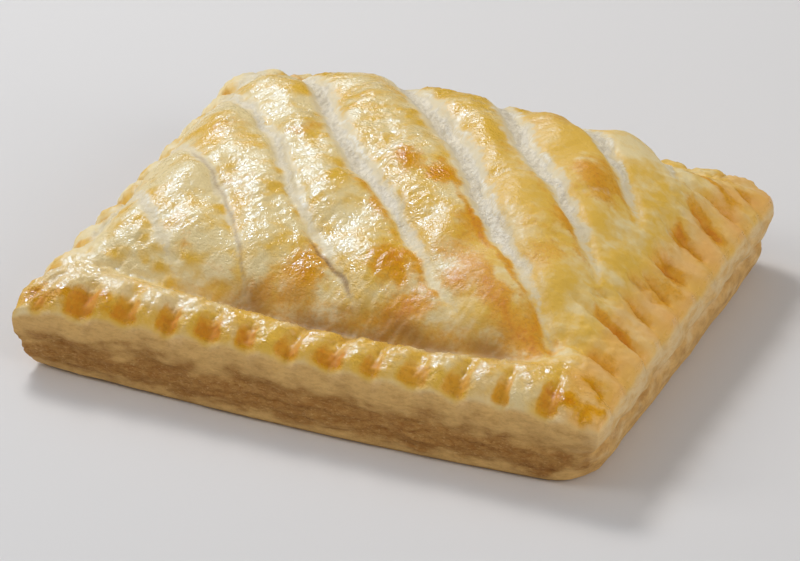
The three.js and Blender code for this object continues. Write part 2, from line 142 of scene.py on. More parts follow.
# Browned spots of the lid and the right rim: x, y, half width across the slashes' direction,
# half length along it, strength
BROWNED_SPOTS = (
    (-1, -2, 3.5, 4, 0.9), (8, -4, 3.5, 5, 1), (-6, 22, 4, 5, 0.45), (17, 13, 5, 6, 0.2),
    (17, 22, 4, 6, 0.2), (0, -17, 3, 4, 0.4), (7, -29, 4, 4.5, 0.9), (10, -32, 4, 3.5, 0.7),
    (15, -37, 6, 3, 0.8), (20, -16, 4, 5, 0.5), (26, -28, 3, 6, 0.6), (31, -32, 2.5, 6, 0.95),
    (36, -35, 2.5, 5, 0.95), (42, -38, 2.5, 4.5, 0.9), (23, -32, 2.5, 3, 0.8), (19, -25, 5, 5, 0.4),
    (32, -12, 5, 4, 0.3), (37, -7, 3, 5, 0.5), (38, -19, 5, 5, 0.4), (38, 9, 5, 7, 0.85),
    (22, 33, 7, 6, 0.45), (-10, -34, 4.5, 4.5, 0.8), (-17, -38, 4, 2.5, 0.45), (-34, -17, 4, 5, 0.3),
    (-40, -32, 4, 3, 0.35), (-37, -36, 2.5, 2, 0.3), (-27, 3, 8, 2.5, 0.45), (-45, -2, 7, 2, 0.3),
)
SPOT_ROUND = 1.2

# Browned streaks of the rim: one end, the other end, half width, strength
BROWNED_STREAKS = (
    ((50, 39), (59, 38), 1.5, 0.75), ((55, 26), (62, 24), 2, 0.6), ((54, 17), (60, 13), 1, 0.75),
    ((60, 1), (61, -2), 2.4, 0.4), ((53, -24), (63, -27), 1, 0.75), ((59, -45), (63, -48), 1.5, 0.6),
    ((53, -53), (57, -53), 2, 0.9), ((61, -55), (63, -52), 2.2, 0.7), ((-64, -53), (-46, -54), 1.6, 0.75),
    ((-44, 46), (-36, 47), 1.5, 0.6), ((-56, 47), (-46, 48), 2, 0.4),
)

# Small dents where the lid's right flank meets the rim: x, y, half size, depth
DENTS = (
    (52, 31, 2.2, 1.1), (55, 14, 2.6, 1.5), (56.5, 5, 2.4, 1.5), (55, -8, 2.2, 1.4), (59.5, -8.5, 1.6, 0.9),
    (51, -20, 2, 0.9), (48, -37, 2.6, 1.1),
)

# Creases that cross a pillow: two ends
PILLOW_CREASES = (
    ((-19.5, -12), (-10, -4.5)),
    ((9, -18.5), (21, -9)),
    ((17, 0), (28, 8)),
    ((36, 3), (44, 9)),
)
CREASE_END_FADE, CREASE_HALF, CREASE_DEPTH = (1, 2), 0.9, 0.3

# Zones of the top
RIM_FADE, RIGHT_RIM_FROM, FRONT_RIM_FROM, LEFT_FROM = (9, 13), (0.75, 0.9), (0.7, 0.85), (0.55, 0.95)
FRONT_MIDDLE = ((-40, -20), (10, 35))
VALLEY, VALLEY_SPAN = (LID_FRONT + 0.5, 4.5), ((-50, -15), (36, 48))
WRINKLES_X, WRINKLES_Y = (-44, 13), (-40, 6)
LEFT_FOOT, RIGHT_FOOT = (LID_LEFT + 0.5, 2.4), (53, 5)
FOLD_HALF, FOLD_DEPTH = 0.32, 0.6
PRESSED, RIGHT_GROOVE_RUN = (0.1, 0.5), ((1.5, 5), (8, 12))
GROOVE_BAKED, GROOVE_REACH, GROOVE_FROM, GROOVE_LEFT_LOSS = (0.9, 0.3), (2.8, 1.2), 1, 0.55

# Swings that make borders wander: amount, length, seeds for the two directions
SLASH_WANDER = ((1.0, 5, 11, 13), (0.65, 1.9, 12, 14))
DENT_WANDER = ((0.9, 2.6, 33, 34),)
SPOT_WANDER = ((1.6, 5, 51, 53), (0.6, 1.8, 52, 54))
CRINKLE_SWAY, CRINKLE_THINNESS, CRINKLE_POWER = (0.6, 2), 2.6, 1.3

# How strong the skin's relief is
SKIN_LEAST, SKIN_LEFT, SKIN_RIGHT, RIM_CALM = 0.35, 1.5, 0.8, 0.6

# The top's colours: their levels, and how much each zone counts
GOLD_LEVEL, GOLD_CALM = 0.5, 0.375
GOLD_BY_ZONE = {
    "to_right": 0.1, "left": -0.18, "right_pillows": 0.3, "last_pillow": -0.4, "left_lid": -0.08,
    "pressed": 0.35, "front_rim": -0.1, "front_middle": 0.3, "front_left": -0.3, "front_edge": 0.45,
}
# Browning at the foot of the front flank is painted shade; in the dents it is partly browning and partly
# painted shade
BROWN_BY_ZONE = {
    "lid_back": 0.2, "groove": 0.9, "right_groove": 0.35, "right_rim": 0.1, "front_flank_shade": 0.4,
    "front_middle": 0.2, "fold": 0.45, "dent": 0.3,
}
EDGE_BROWN, EDGE_UNCREAMED, PALE_UNBROWNED = 0.7, 0.8, 0.85
GLAZE_LOSS = {
    "pale": 1, "slit_and_painted_shade": 0.8, "groove": 0.95, "valley": 0.6, "right_half": 0.5, "left_rim": 0.45,
    "left_lid": 0.15,
}
GLAZE_FRONT_RIM, GLAZE_LID, GLAZE_MOST = 0.3, 0.12, 1.3
CREAM_FOOT, CREAM_CREASE = 0.9, 0.35
# How strongly shade is painted in the front valley, the dents and the right rim's folds
VALLEY_SHADE, DENT_SHADE, FOLD_SHADE = 0.72, 0.22, 0.35
FRONT_PEACH, PEACH_LEVEL = 0.3, 0.7

# The sides: leaves, the line above the foot, the open seam and flour; shade is painted in the cracks, the
# foot line and the seam
TORN, TORN_MORE_FRONT, TORN_LESS_RIGHT = 0.7, 0.3, 0.45
LEAF_THICKNESS = 2.3
LEAF_RISE, LEAF_SINK = 0.5, 0.15
FOOT_LINE_AT = 3.3
# How strongly shade is painted in the foot line and the open seam, as FOOT_CRACK and SEAM_GAP_CRACK
FOOT_DEPTH, FOOT_LINE_HALF, FOOT_CRACK, FOOT_CRACK_HALF = 0.35, 0.5, 0.8, 0.4
SEAM_GAP_DEPTH, SEAM_GAP_HALF, SEAM_GAP_CRACK = 0.6, 0.03, 0.9
MOTTLE_DROP = 0.05
FLOUR_RISE = 1.4
NOTCH_POWER, BORDER_POWER = 4, 8
RIM_COLOUR_LEFT = 0.2
SIDE_MASKS = ("side", "flaky", "crack_shade", "flour")


def fade(value, low, high):
    """A smooth rise from 0 to 1 between two values."""
    share = np.clip((value - low) / (high - low), 0, 1)
    return share * share * (3 - 2 * share)


def bell(distance, half_width):
    return np.exp(-((distance / half_width) ** 2))


def hump(value, size):
    """A bell with a given middle and half width."""
    return bell(value - size[0], size[1])


def draw(seed):
    """A repeatable draw between -1 and 1 for each whole number."""
    s = np.sin(seed * 127.1 + 11.7) * 43758.5453
    return 2 * (s - np.floor(s)) - 1


def lattice_angle(ix, iy, seed):
    """A repeatable direction for each point of a square lattice."""
    mixed = ix.astype(np.int64) * 374761393 + iy.astype(np.int64) * 668265263 + seed * 974711
    mixed = (mixed ^ (mixed >> 13)) * 1274126177
    mixed = mixed ^ (mixed >> 16)
    return (mixed & 0xFFFF) * (2 * math.pi / 65536)


def noise(x, y, seed):
    """Smooth gradient noise with about one swing to each unit, between about -1 and 1."""
    ix, iy = np.floor(x), np.floor(y)
    fx, fy = x - ix, y - iy
    sx = fx ** 3 * (fx * (fx * 6 - 15) + 10)
    sy = fy ** 3 * (fy * (fy * 6 - 15) + 10)

    def corner(i, j):
        angle = lattice_angle(ix + i, iy + j, seed)
        return np.cos(angle) * (fx - i) + np.sin(angle) * (fy - j)

    near = corner(0, 0) * (1 - sx) + corner(1, 0) * sx
    far = corner(0, 1) * (1 - sx) + corner(1, 1) * sx
    return 1.5 * (near * (1 - sy) + far * sy)


def layered(x, y, seed, layers=3):
    """Noise with finer and weaker noise over it, each layer turned against the last."""
    total = np.zeros_like(x)
    weight = 1.0
    for layer in range(layers):
        turn = layer * GOLDEN_ANGLE
        scale = 2.0 ** layer
        rx = scale * (x * math.cos(turn) - y * math.sin(turn))
        ry = scale * (x * math.sin(turn) + y * math.cos(turn))
        total += weight * noise(rx, ry, seed + layer)
        weight *= 0.5
    return total


def lump(x, y):
    """Slow unevenness of baked dough, between -1 and 1."""
    total = np.zeros_like(x)
    for i in range(LUMP_WAVES):
        turn = i * GOLDEN_ANGLE
        wave = 2 * math.pi * (1 + LUMP_SPREAD * i) / LUMP_LENGTH
        total += np.sin((x * math.cos(turn) + y * math.sin(turn)) * wave + LUMP_PHASE * i)
    return total / LUMP_WAVES


def side_and_end(sizes, x, y):
    """The sizes given for the nearer long side and for the nearer end."""
    return np.where(y < 0, sizes["front"], sizes["back"]), np.where(x < 0, sizes["left"], sizes["right"])


def corner_pull(u, v, share):
    front = np.where(u < 0, CORNER_PULL["front_left"], CORNER_PULL["front_right"])
    low = share ** np.where(u < 0, CORNER_PULL_FADE["left"], CORNER_PULL_FADE["right"])
    return np.where(v < 0, front, CORNER_PULL["back"]) * low * np.abs(u * v) ** CORNER_PULL_POWER


def plan(u, v, share):
    """Carries the square grid to the rounded plan. Returns x, y and the outward direction."""
    ring = np.maximum(np.abs(u), np.abs(v))
    rounding = BASE_CORNER_RADIUS + (CORNER_RADIUS - BASE_CORNER_RADIUS) * share
    radius = rounding * ring ** CORNER_ROUND_POWER
    reach = np.where(u < 0, EDGE_REACH["left"], EDGE_REACH["right"]) * np.abs(u) ** EDGE_REACH_POWER
    side_bow, end_bow = side_and_end(EDGE_BOW, u, v)
    x = np.abs(u) * (HALF_LENGTH + end_bow * (1 - v * v))
    y = np.abs(v) * (HALF_WIDTH + side_bow * (1 - u * u))
    centre_x = HALF_LENGTH * ring - radius
    centre_y = HALF_WIDTH * ring - radius
    in_corner = (x > centre_x) & (y > centre_y) & (ring > 0)
    on_long_edge = np.abs(v) == ring
    safe = np.where(radius > 0, radius, 1)
    bend = np.where(on_long_edge, x - centre_x, y - centre_y) / safe
    turn = math.pi / 4 * np.clip(bend, 0, 1)
    angle = np.where(on_long_edge, math.pi / 2 - turn, turn)
    by_end = HALF_LENGTH - x < HALF_WIDTH - y
    out_x = np.where(in_corner, np.cos(angle), np.where(by_end, 1.0, 0.0))
    out_y = np.where(in_corner, np.sin(angle), np.where(by_end, 0.0, 1.0))
    x = np.where(in_corner, centre_x + radius * out_x, x) + reach
    y = np.where(in_corner, centre_y + radius * out_y, y)
    pull = corner_pull(u, v, share) / math.sqrt(2)
    flip_x, flip_y = np.where(u < 0, -1, 1), np.where(v < 0, -1, 1)
    return (x + pull) * flip_x, (y + pull) * flip_y, out_x * flip_x, out_y * flip_y


def insets(u, v):
    """Distances in from the nearer end and the nearer long side, and the smaller, rounded at corners."""
    from_end, from_side = HALF_LENGTH * (1 - np.abs(u)), HALF_WIDTH * (1 - np.abs(v))
    near = np.maximum(0, 1 - np.abs(from_end - from_side) / CORNER_SOFTNESS)
    inset = np.minimum(from_end, from_side) - near ** 2 * CORNER_SOFTNESS / 4
    return from_end, from_side, inset


def edge_size(sizes, u, v, on_long_edge):
    """The size given for the nearest of the four edges."""
    return np.where(on_long_edge, *side_and_end(sizes, u, v))


def blended_size(sizes, u, v):
    """The size given for the nearest edge, blended across the corners."""
    from_end, from_side, inset = insets(u, v)
    side, end = side_and_end(sizes, u, v)
    return side + (end - side) * fade(from_side - from_end, -CORNER_BLEND, CORNER_BLEND)


def crimp_place(u, v):
    """The edge and number of the crimp nearest to a place on the rim, and the distance along from its
    middle in half widths. A crimp is a wedge, narrower towards the lid."""
    from_end, from_side, inset = insets(u, v)
    on_long_edge = from_side < from_end
    along = np.where(on_long_edge, HALF_LENGTH * u, HALF_WIDTH * v)
    edge = np.where(on_long_edge, 2 + np.sign(v), 7 + np.sign(u))
    sizes = (CRIMP_FIRST, CRIMP_PITCH, CRIMP_STRETCH)
    first, pitch, stretch = (edge_size(size, u, v, on_long_edge) for size in sizes)
    run = along - first
    number = np.round(2 * run / (pitch + np.sqrt(pitch ** 2 + 4 * stretch * run)))
    drift = CRIMP_DRIFT * draw(SEED_DRIFT * edge + number)
    drift += CRIMP_SKEW * draw(SEED_SKEW * edge + number) * inset
    centre = first + pitch * number + stretch * number ** 2 + drift
    wedge = 1 - CRIMP_WEDGE * np.clip(inset / CRIMP_WEDGE_REACH, 0, 1)
    half_width = CRIMP_HALF_WIDTH * wedge * (1 + CRIMP_UNEVENNESS * draw(SEED_WIDTH * edge + number))
    return edge, number, (along - centre) / half_width


def crimp(u, v):
    """How firmly a crimp is pressed at a place on the rim, 0 on a ridge."""
    from_end, from_side, inset = insets(u, v)
    edge, number, offset = crimp_place(u, v)
    press = edge_size(CRIMP_PRESS, u, v, from_side < from_end)
    press = press * (1 + CRIMP_UNEVENNESS * draw(SEED_STRENGTH * edge + number))
    corner = fade(np.abs(from_end - from_side), *CRIMP_CORNER_FADE)
    reach = blended_size(CREST_SETBACK, u, v) * (1 + CRIMP_UNEVENNESS * draw(SEED_REACH * edge + number))
    outer = 1 - fade(inset / reach, *CRIMP_FADE)
    return np.exp(-(np.abs(offset) ** CRIMP_SQUARENESS)) * press * corner * outer


def rim_height(u, v):
    from_end, from_side, inset = insets(u, v)
    setback = blended_size(CREST_SETBACK, u, v)
    rise = 1 - (1 - np.minimum(1, inset / setback)) ** blended_size(CREST_ROUND, u, v)
    ends = fade(u, *FRONT_VALLEY_LEFT) * fade(-u, *FRONT_VALLEY_RIGHT)
    front = fade(-v, *FRONT_VALLEY_DEPTH) * ends
    drop = VALLEY_DROP + (FRONT_VALLEY_DROP - VALLEY_DROP) * front
    fall = np.clip((inset - setback) / VALLEY_RUN, 0, 1) ** 2
    sag = CREST_SAG * rise * front * bell(HALF_LENGTH * u, CREST_SAG_HALF_LENGTH)
    sag += BACK_SAG * fade(v, *BACK_SAG_DEPTH)
    sag += np.where((u < 0) & (v < 0), CORNER_DROOP * np.abs(u * v) ** CORNER_DROOP_POWER, 0)
    crest = blended_size(CREST_RISE, u, v) * rise - sag
    ear = EAR_LIFT * bell(HALF_LENGTH * u - EAR_AT[0], EAR_HALF_LENGTH)
    ear *= bell(HALF_WIDTH * v - EAR_AT[1], EAR_HALF_WIDTH)
    return crest - drop * fall - CRIMP_DEPTH * crimp(u, v) + ear


def flank(inset, reach, rounding):
    return 1 - np.exp(-((np.maximum(0, inset) / reach) ** rounding))


def lid_share(x, y):
    """0 on the rim and 1 on the lid, up its four flanks and the cuts across two of its corners."""
    diagonal = (x - y) / math.sqrt(2)
    back_left = LID_CORNER_CUT["back_left"] + diagonal
    front_right = LID_CORNER_CUT["front_right"] - diagonal
    share = flank(back_left, LID_CORNER_REACH["back_left"], FLANK_ROUND["left"])
    share = share * flank(front_right, LID_CORNER_REACH["front_right"], FLANK_ROUND["right"])
    inward = edges(y - LID_FRONT, LID_BACK - y, x - LID_LEFT, LID_RIGHT - x)
    for side, inset in inward.items():
        share = share * flank(inset, FLANK_REACH[side], FLANK_ROUND[side])
    return share


def lid_height(x, y):
    in_front = y < CROWN_AT
    span = np.where(in_front, CROWN_AT - LID_FRONT, LID_BACK - CROWN_AT)
    fall = np.where(in_front, CROWN_FALL["front"], CROWN_FALL["back"]) * ((y - CROWN_AT) / span) ** 2
    crown = (1 - fall) * (1 - CROWN_FALL["ends"] * (x / CROWN_HALF_LENGTH) ** 2)
    return lid_share(x, y) * (FLANK_RISE + CROWN_RISE * crown + LUMP_HEIGHT * lump(x, y))


def turned(x, y):
    """Distances across the slashes' direction and along it."""
    return x * ACROSS[0] + y * ACROSS[1], x * ALONG[0] + y * ALONG[1]


def slash_lines():
    """Each slash's distance from the lid's middle, and the stretch that it covers."""
    lines = []
    for k in range(SLASH_COUNT):
        place = k - (SLASH_COUNT - 1) / 2
        offset = SLASH_PITCH * place - SLASH_CROWDING * place ** 3 + SLASH_SHIFT + SLASH_NUDGE[k]
        foot_x, foot_y = ACROSS[0] * offset, ACROSS[1] * offset
        start = max((LID_LEFT - foot_x) / ALONG[0], (LID_BACK - foot_y) / ALONG[1]) + SLASH_END_GAP
        end = min((SLASH_RIGHT - foot_x) / ALONG[0], (LID_FRONT - foot_y) / ALONG[1]) - SLASH_END_GAP
        lines.append((offset, start, end))
    return lines


def slash_places(x, y):
    """For each slash: signed distance from it, share of its length, and how deep it is there."""
    across, along = turned(x, y)
    for k, (offset, start, end) in enumerate(slash_lines()):
        half, middle = (end - start) / 2, (end + start) / 2
        taper = np.sqrt(np.maximum(0, 1 - ((along - middle) / half) ** SLASH_TAPER_POWER))
        sway = SLASH_SWAY * np.sin(2 * math.pi * along / SLASH_SWAY_LENGTH + SLASH_SWAY_PHASE * k)
        bend = SLASH_BEND[k] * np.maximum(0, (along - middle) / half) ** 2
        yield k, across - offset - sway - bend, (along - start) / (end - start), taper


def slash_depth(x, y):
    depth = np.zeros_like(x)
    for k, gap, share, taper in slash_places(x, y):
        reach = SLASH_HALF_WIDTH * np.maximum(taper, LEAST_TAPER)
        cut = 1 - fade(np.abs(gap), SLASH_FLOOR_SHARE * reach, reach)
        shoulder = PILLOW_DEPTH * bell(gap, PILLOW_SHOULDER) * taper ** PILLOW_FADE
        depth = np.maximum(depth, SLASH_STRENGTH[k] * (SLASH_DEPTH * cut * taper + shoulder))
    return depth


def top_height(u, v):
    x, y = HALF_LENGTH * u, HALF_WIDTH * v
    return EDGE_HEIGHT + rim_height(u, v) + lid_height(x, y) - slash_depth(x, y)


def by_side(sizes, out_x, out_y):
    side, end = side_and_end(sizes, out_x, out_y)
    return end * out_x ** 2 + side * out_y ** 2


def side_inset(share, u, v, out_x, out_y, around):
    bow = np.where(np.abs(v) == 1, 1 - u * u, 1 - v * v)
    foot = by_side(BASE_INSET, out_x, out_y) - by_side(BASE_BOW, out_x, out_y) * bow
    layer = np.where(share > SEAM_AT, (share - SEAM_AT) / (1 - SEAM_AT), share / SEAM_AT)
    swell = by_side(LAYER_SWELL, out_x, out_y) * np.sin(math.pi * layer)
    seam = by_side(SEAM_DEPTH, out_x, out_y) * bell(share - SEAM_AT, SEAM_HALF_HEIGHT)
    wave = np.sin(2 * math.pi * around / SIDE_WAVE_LENGTH + SIDE_WAVE_TWIST * share)
    tuck = EDGE_TUCK * np.clip((share - EDGE_TUCK_FROM) / (1 - EDGE_TUCK_FROM), 0, 1) ** 2
    ripple = SIDE_WAVE * wave * np.sin(math.pi * share)
    return foot * (1 - share) ** LEAN_ROUND - swell + seam + tuck - ripple


def grid_normals(points):
    """Normals of a grid of points, by its rows and columns."""
    normals = np.cross(np.gradient(points, axis=1), np.gradient(points, axis=0))
    return normals / np.linalg.norm(normals, axis=-1, keepdims=True)


# Relief of the top that is finer than the solid

def grain(size, x, y, pattern=noise, **settings):
    """Noise of a given height, lengths in two directions and seed."""
    height, x_length, y_length, seed = size
    return height * pattern(x / x_length, y / y_length, seed, **settings)


def wander(x, y, swings):
    """Places shifted by noise, so that borders wander. A swing has an amount, a length and two seeds."""
    wx, wy = x, y
    for amount, length, seed_x, seed_y in swings:
        wx = wx + amount * noise(x / length, y / length, seed_x)
        wy = wy + amount * noise(x / length, y / length, seed_y)
    return wx, wy


def window(value, rise, fall):
    """1 between two fades and 0 outside them."""
    return fade(value, *rise) * (1 - fade(value, *fall))


def stacked(sizes, x, y):
    """The sum of several noises, each with its own pattern."""
    return sum(grain(size, x, y, pattern) for pattern, *size in sizes)


def crinkle(x, y, seed):
    """Thin winding ridges, like skin that has shrunk: 1 on a ridge, 0 away from it."""
    wx, wy = wander(x, y, [(*CRINKLE_SWAY, seed + 5, seed + 6)])
    return np.maximum(0, 1 - CRINKLE_THINNESS * np.abs(noise(wx, wy, seed))) ** CRINKLE_POWER


# Layers of relief: pattern, height, lengths in two directions, seed
SKIN_LAYERS = ((crinkle, 0.16, 4.8, 2.8, 43), (noise, 0.12, 2.6, 1.5, 44), (crinkle, 0.17, 2.7, 1.7, 48))
RIGHT_FOOT_LAYERS = ((crinkle, 0.35, 4.2, 2.8, 50), (noise, 0.3, 3, 2, 57))
RIM_LAYERS = ((crinkle, 0.32, 3.2, 1.8, 47), (noise, 0.1, 1.3, 1.0, 49))


def slash_masks(x, y):
    """Pale stretched dough by the slashes, their powdery floors, torn lips, browned edges and slits."""
    wx, wy = wander(x, y, SLASH_WANDER)
    pale, floor, lip, edge = (np.zeros_like(x) for _ in range(4))
    for k, gap, share, taper in slash_places(wx, wy):
        opening = SLASH_OPENING[k] * (1 - SLASH_CLOSING[k] * fade(share, 0.4, 1))
        half = SLASH_HALF_WIDTH * opening * np.maximum(taper, LEAST_TAPER)
        inside = fade(taper, *SLASH_END_FADE)
        away, low_end = np.abs(gap), fade(share, 0.7, 1)
        shown = PALE_LEAST + (1 - PALE_LEAST) * fade(opening, 0.05, 0.45)
        border = fade(away, PALE_FROM * half, SLASH_EDGE * half + PALE_MARGIN + PALE_SPREAD * opening)
        pale = np.maximum(pale, shown * (1 - PALE_LOSS * low_end) * inside * (1 - border))
        bare = fade(opening, 0.05, 0.5) * (1 - FLOOR_LOSS * low_end)
        border = fade(away, FLOOR_FROM * half, SLASH_EDGE * half)
        floor = np.maximum(floor, bare * inside * (1 - border))
        torn = fade(noise(share * LIP_TEARS, share * 0 + k + 0.5, LIP_SEED), -0.25, 0.35)
        torn = torn * fade(SLASH_OPENING[k], 0.1, 0.3) * (1 - fade(share, 0.6, 0.9))
        lip = np.maximum(lip, inside * torn * bell(gap - half, LIP_HALF))
        streak = bell(gap + STREAK_AT * half + STREAK_GAP, STREAK_HALF) * window(share, *STREAK_RUN)
        edge = np.maximum(edge, EDGE_BROWNING[k] * inside * streak)
    return SimpleNamespace(pale=pale, floor=floor, lip=lip, edge=edge, slit_and_painted_shade=slit_mask(x, y))


def slit_mask(x, y):
    """Thin slits along the left of the slashes' lower ends, where dark shade is painted."""
    mask = np.zeros_like(x)
    shift = grain((0.35, 4, 4, 16), x, y)
    for k, gap, share, taper in slash_places(x + shift, y + shift):
        side = gap + SLIT_OFFSET[k] * (1 - fade(share, 0.8, 0.95))
        run = window(share, (SLIT_FROM[k], SLIT_FROM[k] + SLIT_RISE), SLASH_TIP)
        shown = SLIT_STRENGTH[k] * fade(taper, *SLASH_END_FADE) * run
        mask = np.maximum(mask, shown * bell(side, SLIT_HALF))
    return mask


def crease_mask(x, y):
    """The creases that cross pillows: 1 along each one."""
    mask = np.zeros_like(x)
    for (x0, y0), (x1, y1) in PILLOW_CREASES:
        length = math.hypot(x1 - x0, y1 - y0)
        dx, dy = (x1 - x0) / length, (y1 - y0) / length
        along = (x - x0) * dx + (y - y0) * dy
        gap = (y - y0) * dx - (x - x0) * dy + grain((0.7, 3, 1, 31), along, along * 0)
        outer, inner = CREASE_END_FADE
        ends = window(along, (-outer, inner), (length - inner, length + outer))
        mask = np.maximum(mask, ends * bell(gap, CREASE_HALF))
    return mask


def dent_depth(x, y):
    """Small dents by the rim, with uneven borders."""
    wx, wy = wander(x, y, DENT_WANDER)
    dents = [deep * bell(np.hypot(wx - x0, wy - y0), half) for x0, y0, half, deep in DENTS]
    return np.max(dents, axis=0)


def rim_fold(u, v):
    """Thin folds along the middles of the right rim's crimps."""
    from_end, from_side, inset = insets(u, v)
    edge, number, offset = crimp_place(u, v)
    on_right = fade(u, 0.75, 0.85) * fade(from_side - from_end, *CRIMP_CORNER_FADE)
    return bell(offset, FOLD_HALF) * window(inset, (1.5, 4), RIM_FADE) * on_right


def top_place(u, v):
    """Where each point of the top lies: on the plan, across and along the slashes, and in which zone."""
    from_end, from_side, inset = insets(u, v)
    x, y = HALF_LENGTH * u, HALF_WIDTH * v
    across, along = turned(x, y)
    lid, rim = lid_share(x, y), 1 - fade(inset, *RIM_FADE)
    return SimpleNamespace(
        u=u, v=v, x=x, y=y, inset=inset, on_long_edge=from_side < from_end,
        across=across, along=along, lid=lid, rim=rim,
        right_rim=rim * fade(u, *RIGHT_RIM_FROM),
        front_rim=rim * fade(-v, *FRONT_RIM_FROM),
        left=fade(-u, *LEFT_FROM),
        valley=hump(y, VALLEY) * window(x, *VALLEY_SPAN),
        wrinkles=hump(x, WRINKLES_X) * hump(y, WRINKLES_Y),
        crimp=crimp(u, v),
        fold=rim_fold(u, v),
        dent=dent_depth(x, y),
        crease=crease_mask(x, y) * lid,
    )


def rim_relief(p):
    """Wrinkles of the glazed rim, drawn out along its edge and weaker on the right, and its folds."""
    along, across = np.where(p.on_long_edge, p.x, p.y), np.where(p.on_long_edge, p.y, p.x)
    wrinkle = grain((0.22, 4.5, 2.6, 46), along, across, layered, layers=2)
    wrinkle += stacked(RIM_LAYERS, along, across)
    calm = 1 - RIM_CALM * fade(p.u, 0.8, 0.95)
    return p.rim * calm * wrinkle - FOLD_DEPTH * p.fold


def top_relief(p, cut):
    """How far the fine relief of the lid stands out from the solid's form."""
    patchy = fade(grain((1, 15, 15, 41), p.x, p.y, layered), -0.45, 0.35)
    by_end = SKIN_LEFT + (SKIN_RIGHT - SKIN_LEFT) * fade(p.x, 0, 35)
    skin = (1 - cut.pale) * (SKIN_LEAST + (1 - SKIN_LEAST) * patchy) * by_end
    relief = p.lid * (1 - cut.pale) * grain((0.45, 9, 9, 42), p.x, p.y)
    relief += skin * stacked(SKIN_LAYERS, p.across, p.along)
    relief += LIP_HEIGHT * cut.lip - SLIT_DEPTH * cut.slit_and_painted_shade
    foot = hump(p.x, RIGHT_FOOT) * fade(p.y, -40, -30)
    relief += foot * stacked(RIGHT_FOOT_LAYERS, p.x, p.y)
    relief += cut.pale * (1 - cut.floor) * grain((0.16, 1.3, 5, 40), p.along, p.across)
    relief += cut.floor * grain((0.1, 1.3, 2.6, 45), p.across, p.along, layered, layers=2)
    relief += p.wrinkles * grain((0.5, 9, 2.6, 58), p.x, p.y, crinkle)
    return relief - CREASE_DEPTH * p.crease - p.dent


# Colour masks

def segment_gap(x, y, start, end):
    """The distance of each place from a straight line between two ends."""
    dx, dy = end[0] - start[0], end[1] - start[1]
    share = np.clip(((x - start[0]) * dx + (y - start[1]) * dy) / (dx * dx + dy * dy), 0, 1)
    return np.hypot(x - start[0] - share * dx, y - start[1] - share * dy)


def browned(x, y):
    """Browned spots and streaks, with uneven borders."""
    wx, wy = wander(x, y, SPOT_WANDER)
    clear = np.ones_like(x)
    for x0, y0, half_across, half_along, strength in BROWNED_SPOTS:
        across, along = turned(wx - x0, wy - y0)
        away = (across / half_across) ** 2 + (along / half_along) ** 2
        clear *= 1 - strength * np.exp(-away ** SPOT_ROUND)
    for start, end, half, strength in BROWNED_STREAKS:
        clear *= 1 - strength * bell(segment_gap(wx, wy, start, end), half)
    return 1 - clear


def weighed(weights, zones):
    """The sum of zones, each by its own weight."""
    return sum(weights[name] * zone for name, zone in zones.items())


def gold_mask(p):
    """How golden the glaze is: in patches and strokes, and by zone."""
    calm = 1 - GOLD_CALM * fade(p.across, 4, 20)
    gold = GOLD_LEVEL + calm * grain((0.4, 13, 13, 61), p.x, p.y, layered)
    gold += grain((0.15, 11, 1.5, 62), p.across, p.along)
    gold += fade(-p.x, -10, 20) * grain((0.6, 5.5, 4, 66), p.x, p.y)
    gold += p.wrinkles * grain((0.6, 4, 1.8, 59), p.x, p.y)
    return gold + weighed(GOLD_BY_ZONE, {
        "to_right": p.u,
        "left": p.left,
        "right_pillows": p.lid * fade(p.across, 0, 16),
        "last_pillow": p.lid * fade(p.across, 36, 46),
        "left_lid": p.lid * fade(-p.x, 0, 30),
        "pressed": p.rim * fade(p.crimp, *PRESSED),
        "front_rim": p.front_rim,
        "front_middle": p.front_rim * window(p.x, *FRONT_MIDDLE),
        "front_left": p.front_rim * fade(-p.x, 10, 35) * fade(p.inset, 2, 5),
        "front_edge": p.front_rim * (1 - fade(p.inset, 0.5, 2.5)) * (1 - fade(p.x, 15, 40)),
    })


def groove_masks(p):
    """Baked bottoms of the crimps, and of the right rim's crimps."""
    edge, number, offset = crimp_place(p.u, p.v)
    baked = GROOVE_BAKED[0] + GROOVE_BAKED[1] * draw(SEED_BROWN * edge + number)
    reach = GROOVE_REACH[0] + GROOVE_REACH[1] * draw(SEED_SKEW * edge + number)
    run = np.where(p.inset < GROOVE_FROM, 1, bell(p.inset - GROOVE_FROM, reach))
    groove = baked * fade(p.crimp, *PRESSED) * run * (1 - p.right_rim)
    right_groove = baked ** 2 * fade(p.crimp, 0.1, 0.4) * window(p.inset, *RIGHT_GROOVE_RUN)
    return groove, right_groove * p.right_rim


def brown_mask(p, cut, groove, right_groove):
    """How browned the glaze is: in spots and streaks, and by zone; at the front flank's foot it is painted
    shade.
    """
    brown = browned(p.x, p.y) + weighed(BROWN_BY_ZONE, {
        "lid_back": p.lid * window(p.y, (LID_BACK - 9, LID_BACK - 3), (LID_BACK, LID_BACK + 3)),
        "groove": groove * (1 - GROOVE_LEFT_LOSS * p.left),
        "right_groove": right_groove,
        "right_rim": p.right_rim,
        "front_flank_shade": hump(p.y, (LID_FRONT + 1, 4)) * window(p.x, (-45, -15), (40, 52)),
        "front_middle": p.front_rim * window(p.x, *FRONT_MIDDLE) * (1 - fade(p.inset, 0.5, 4)),
        "fold": p.fold,
        "dent": p.dent,
    })
    edge = cut.edge * (EDGE_BROWN + grain((0.5, 5, 5, 63), p.x, p.y))
    return brown * (1 - PALE_UNBROWNED * cut.pale) + edge


